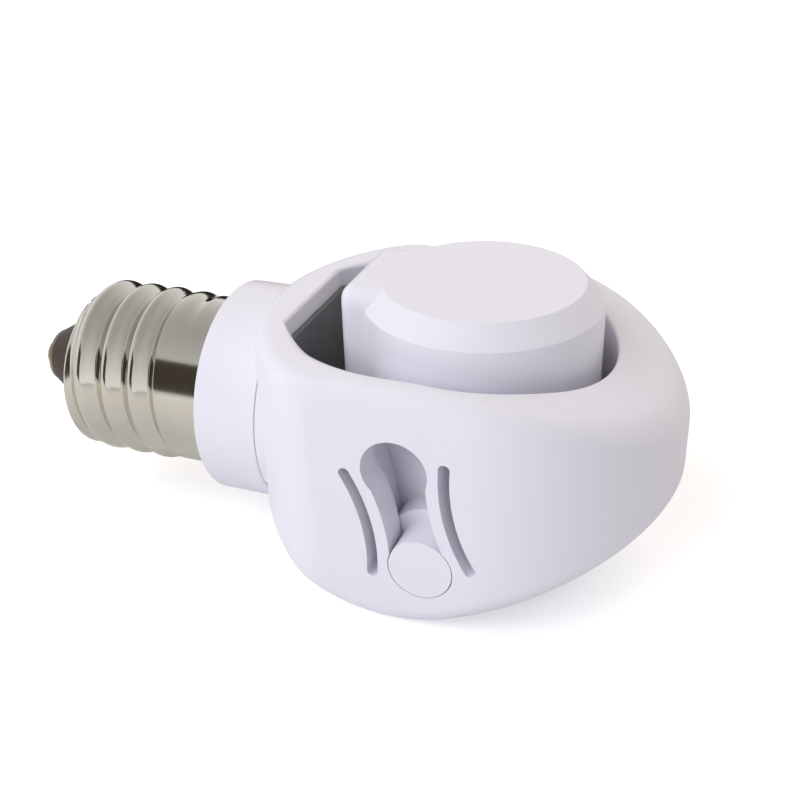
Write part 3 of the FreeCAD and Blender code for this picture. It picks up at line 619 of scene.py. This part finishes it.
pin_x = 22.95
pin_z = -5.73
slot_lean = math.radians(12.7)
slot_travel = 9.16
seat_radius = 2.8
shoulder_track = 4.0
shoulder_gap = 0.1
neck_half = 2.08
relief_distance = 3.6
relief_bow = 16.0
relief_width = 0.95
relief_length = 9.4
up_slot = np.array((-math.sin(slot_lean), math.cos(slot_lean)))
across_slot = np.array((math.cos(slot_lean), math.sin(slot_lean)))
lower_seat = np.array((pin_x, pin_z))
upper_seat = lower_seat + up_slot * slot_travel
slot_middle = lower_seat + up_slot * slot_travel / 2


def slot_points(pairs):
    """Points of the side view from (across, along) pairs about the middle of the slot."""
    return [slot_middle + across_slot * across + up_slot * along for across, along in pairs]


def through_cut(points, reach=17.0):
    """A prism through both sides from an outline in the side view."""
    corners = [(x * MM, side * reach * MM, z * MM) for side in (-1, 1) for x, z in points]
    ends = [tuple(range(len(points))), tuple(range(len(points), len(corners)))]
    mesh = bpy.data.meshes.new("through_cut")
    mesh.from_pydata(corners, [], ends + looped_faces(2, len(points), False))
    outward(mesh)
    return mesh


def bowed(distance, half_length, steps=24):
    """(across, along) pairs along a bow whose middle is nearest to the slot's line."""
    bow = relief_distance + relief_bow - distance
    reaches = [half_length * (2 * step / steps - 1) for step in range(steps + 1)]
    return [(distance + bow - math.sqrt(bow ** 2 - along ** 2), along) for along in reaches]


def round_outline(centre, radius, start=0, end=360, steps=72):
    return arc_points(centre[0], centre[1], radius, start, end, steps)[:-1]


neck_right = bowed(neck_half, slot_travel / 2 - seat_radius / 2)
neck_outline = slot_points(neck_right + [(-across, along) for across, along in reversed(neck_right)])
lean_turn = math.degrees(slot_lean)
track_outline = (round_outline(lower_seat, shoulder_track, lean_turn - 180, lean_turn)
                 + round_outline(upper_seat, shoulder_track, lean_turn, lean_turn + 180))
cuts = [
    through_cut(round_outline(lower_seat, seat_radius)),
    through_cut(round_outline(upper_seat, seat_radius)),
    through_cut(neck_outline),
    through_cut(track_outline, opening_half + shoulder_gap),
]
relief_end = relief_length / 2
cap_steps = 12
for side in (-1, 1):
    inner = bowed(relief_distance - relief_width / 2, relief_end)
    outer = bowed(relief_distance + relief_width / 2, relief_end)
    cap_radius = (outer[-1][0] - inner[-1][0]) / 2
    cap_middle = (outer[-1][0] + inner[-1][0]) / 2
    caps = [(cap_radius * math.cos(a), cap_radius * math.sin(a))
            for a in (math.radians(180 * step / cap_steps) for step in range(1, cap_steps))]
    top_cap = [(cap_middle + dx, relief_end + dy) for dx, dy in caps]
    foot_cap = [(cap_middle - dx, -relief_end - dy) for dx, dy in caps]
    loop = outer + top_cap + list(reversed(inner)) + foot_cap
    cuts.append(through_cut(slot_points([(side * across, along) for across, along in loop])))
for cut_mesh in cuts:
    housing_mesh = combine(housing_mesh, cut_mesh, "DIFFERENCE")
dress(housing_mesh, "housing", "ring_housing", "ring", white_abs)

# The liner is a moulding on the end wall of the opening, where it covers the washer and the open ring.
# Its dark grey is painted shade, which darkens the deep cavity under the deck's lip. It is left matt.
# Painted shade: this dark grey stands in for the shade in the cavity under the deck's lip.
painted_shade_abs = moulded("painted_shade_grey_abs", "#6A6A6C", roughness=0.55)
dressed_copy("cavity_liner", "painted_shade_liner", "ring", painted_shade_abs)

# The holder is a closed cap with its terminal block, two shoulders and two pins, moulded in one in
# the white ABS. It tilts on the pins, and a ring of the same resin closes its mouth.
block_face_x = 12.4
block_half_width = 5.2
shortest_upright = 1.5
hairline = 0.01
near = 0.1


def is_block_corner(edge):
    """The two upright corners of the terminal block that stand towards the collar."""
    ends = [vertex.co / MM for vertex in edge.verts]
    outside = all(end.x < block_face_x + near and abs(end.y) > block_half_width - near for end in ends)
    return outside and abs(ends[0].z - ends[1].z) > shortest_upright


# The crown of the block is a rounded cap over its bevelled top, a hairline inside the block's faces.
crown_reach = 19.0
crown_foot = 11.95
crown_top = 13.8
crown_round = 1.5
crown = bmesh.new()
bmesh.ops.create_cube(crown, size=1)
for vertex in crown.verts:
    vertex.co.x = (crown_reach if vertex.co.x > 0 else block_face_x + hairline) * MM
    vertex.co.y *= 2 * (block_half_width - hairline) * MM
    vertex.co.z = (crown_top if vertex.co.z > 0 else crown_foot) * MM
crown_edges = []
for edge in crown.edges:
    ends = [vertex.co / MM for vertex in edge.verts]
    upright = abs(ends[0].z - ends[1].z) > near
    on_top = all(end.z > crown_top - near for end in ends)
    buried = all(end.x > crown_reach - near for end in ends)
    if (upright or on_top) and not buried:
        crown_edges.append(edge)
bmesh.ops.bevel(crown, geom=crown_edges, offset=crown_round * MM, segments=8, profile=0.5, affect="EDGES")
crown_mesh = bpy.data.meshes.new("block_crown")
crown.to_mesh(crown_mesh)
crown.free()
cap_mesh = softened_copy("socket_body", soft_edge_mm=0.25, is_wide=is_block_corner, wide_edge_mm=crown_round)
holder_mesh = combine(cap_mesh, crown_mesh, "UNION")
dress(holder_mesh, "socket_body", "holder_cap", "holder", white_abs)
dressed_copy("mouth_ring", "mouth_insulator", "holder", white_abs)

# The lamp's screw shell is drawn, rolled and nickel plated as the base is, with a flange turned in at
# its top. Its mesh is made along X as the base's is, then stood upright in the holder.
holder_x = 23.7
shell_mouth = -7.3
plate_foot = 8.9
lamp_shell_outside = 8.25
lamp_shell_sheet = 0.3
lamp_valley = -0.25
lamp_ridge = 0.4
lamp_thread_foot = 7.0
inside_the_sheet = 7.6
flange_radius = 4.4
lamp_steps = 160
steps_at_mouth = 4
lamp_rows = [shell_mouth + (plate_foot - shell_mouth) * step / lamp_steps for step in range(lamp_steps + 1)]
lamp_blank = turned(
    [(x, lamp_shell_outside) for x in lamp_rows]
    + [(plate_foot, flange_radius), (plate_foot - lamp_shell_sheet, flange_radius)]
    + [(x - lamp_shell_sheet, lamp_shell_outside - lamp_shell_sheet)
       for x in reversed(lamp_rows[steps_at_mouth:])]
    + [(shell_mouth, lamp_shell_outside - lamp_shell_sheet)])
lamp_mesh = rolled_tube(
    lamp_blank, Pitch=thread_pitch * MM, Valley=lamp_valley * MM, Ridge=lamp_ridge * MM,
    Inner_Radius=inside_the_sheet * MM, Foot=lamp_thread_foot * MM,
    First_Turn=0.2, Last_Turn=4.8, Fade=thread_fade, Surface=nickel)
lamp_mesh.transform(Matrix.Translation((holder_x * MM, 0, 0)) @ Matrix.Rotation(-math.pi / 2, 4, "Y"))
dress(lamp_mesh, "screw_shell", "lamp_shell", "holder", nickel)

# Behind the lamp's shell lie an insulating plate, a sprung leaf on its rivet, and the two strips that
# end in the terminal block. They are stamped from spring brass, yellow and half bright, and two
# screws hold plate and shell to the cap.
dressed_copy("contact_plate", "contact_insulator", "holder", phenolic)
brass = metal_finish("stamped_spring_brass", "#CDB271", roughness=0.28, marks_mm=0.3)
for node_name, piece_name in (("centre_contact", "contact_leaf"), ("contact_rivet", "leaf_rivet"),
                              ("live_terminal", "live_strip"), ("neutral_terminal", "neutral_strip")):
    dressed_copy(node_name, piece_name, "holder", brass)
for node_name, piece_name in (("plate_screw_front", "front_plate_screw"),
                              ("plate_screw_back", "back_plate_screw")):
    dressed_copy(node_name, piece_name, "holder", zinc)

# The studio: a white table that the keel just meets, soft boxes above and to the left, and the dark
# of the room in front, which the metal reflects. The table glows for the camera alone, so that it
# shows white round the shadow.
floor_half = 3.0
floor_level = cad_box[0].z
table_mesh = bpy.data.meshes.new("table")
table_mesh.from_pydata([
    (-floor_half, -floor_half, floor_level),
    (floor_half, -floor_half, floor_level),
    (floor_half, floor_half, floor_level),
    (-floor_half, floor_half, floor_level),
], [], [(0, 1, 2, 3)])
table = bpy.data.objects.new("table", table_mesh)
bpy.context.scene.collection.objects.link(table)
table_paint = new_material("matt_white_table")
table_tree = table_paint.node_tree
seen = add(table_tree, "ShaderNodeLightPath").outputs["Is Camera Ray"]
paint = add(table_tree, "ShaderNodeBsdfDiffuse", Color=linear("#F4F4F6"))
glow = add(table_tree, "ShaderNodeEmission", {"Strength": seen}, Color=(0.45, 0.45, 0.45, 1))
both = add(table_tree, "ShaderNodeAddShader", {0: paint.outputs["BSDF"], 1: glow.outputs["Emission"]})
add(table_tree, "ShaderNodeOutputMaterial", {"Surface": both.outputs["Shader"]})
table_mesh.materials.append(table_paint)

# The room is brighter where metal and gloss reflect it than where it only lights the adapter.
world = bpy.data.worlds.new("white_room")
bpy.context.scene.world = world
world.use_nodes = True
room_tree = world.node_tree
room_tree.nodes.clear()
direction = add(room_tree, "ShaderNodeTexCoord").outputs["Generated"]
height = add(room_tree, "ShaderNodeSeparateXYZ", {"Vector": direction}).outputs["Z"]
full_fall_height = 0.9


def fall_with_height(at_horizon, at_zenith):
    """The room's brightness, which falls from the horizon to the zenith."""
    fall = add(room_tree, "ShaderNodeMapRange", {"Value": height},
               From_Max=full_fall_height, To_Min=at_horizon, To_Max=at_zenith)
    return fall.outputs["Result"]


strength = add(room_tree, "ShaderNodeMix", {
    "Factor": add(room_tree, "ShaderNodeLightPath").outputs["Is Glossy Ray"],
    "A": fall_with_height(0.46, 0.26),
    "B": fall_with_height(1.1, 0.5),
}).outputs["Result"]
room = add(room_tree, "ShaderNodeBackground", {"Strength": strength}, Color=linear("#FBFBFF"))
add(room_tree, "ShaderNodeOutputWorld", {"Surface": room.outputs["Background"]})


def towards(azimuth, elevation):
    """The direction with this bearing from the front, to the right, and this height, in degrees."""
    turn = math.radians(azimuth)
    rise = math.radians(elevation)
    return Vector((math.sin(turn) * math.cos(rise), -math.cos(turn) * math.cos(rise), math.sin(rise)))


def hang(item, middle, azimuth, elevation, distance):
    """Puts a lamp or card at a distance from a point, facing it."""
    item.location = middle + towards(azimuth, elevation) * distance
    item.rotation_euler = towards(azimuth, elevation).to_track_quat("Z", "Y").to_euler()
    bpy.context.scene.collection.objects.link(item)


studio_middle = Vector((12, 0, 0)) * MM
base_middle = Vector((-8, 0, 0)) * MM


def soft_box(name, azimuth, elevation, distance, side, radiance, colour):
    """A square soft light that looks at the adapter and leaves no reflection of itself."""
    panel = bpy.data.lights.new(name, "AREA")
    panel.size = side
    panel.energy = radiance * math.pi * side ** 2
    panel.color = linear(colour)[:3]
    lamp = bpy.data.objects.new(name, panel)
    lamp.visible_glossy = False
    hang(lamp, studio_middle, azimuth, elevation, distance)


def dark_card(name, azimuth, elevation, distance, width, height, shade):
    """A card of the dark room, which only reflections see."""
    mesh = bpy.data.meshes.new(name)
    mesh.from_pydata([(-width / 2, -height / 2, 0), (width / 2, -height / 2, 0),
                      (width / 2, height / 2, 0), (-width / 2, height / 2, 0)], [], [(0, 1, 2, 3)])
    cloth = new_material(name)
    dull = add(cloth.node_tree, "ShaderNodeEmission", Color=linear(shade))
    add(cloth.node_tree, "ShaderNodeOutputMaterial", {"Surface": dull.outputs["Emission"]})
    mesh.materials.append(cloth)
    card = bpy.data.objects.new(name, mesh)
    card.visible_camera = False
    card.visible_diffuse = False
    card.visible_shadow = False
    hang(card, base_middle, azimuth, elevation, distance)


soft_box("left_box", azimuth=-38, elevation=42, distance=0.5, side=0.5, radiance=2.45, colour="#FCFCFF")
soft_box("warm_back_box", azimuth=152, elevation=48, distance=0.5, side=0.4, radiance=1.8, colour="#FFEFD8")
dark_card("room_behind_camera", azimuth=-33, elevation=20, distance=0.35,
          width=0.26, height=0.23, shade="#48423A")
dark_card("room_at_the_back", azimuth=-159, elevation=2, distance=0.1,
          width=0.06, height=0.036, shade="#1E1A16")
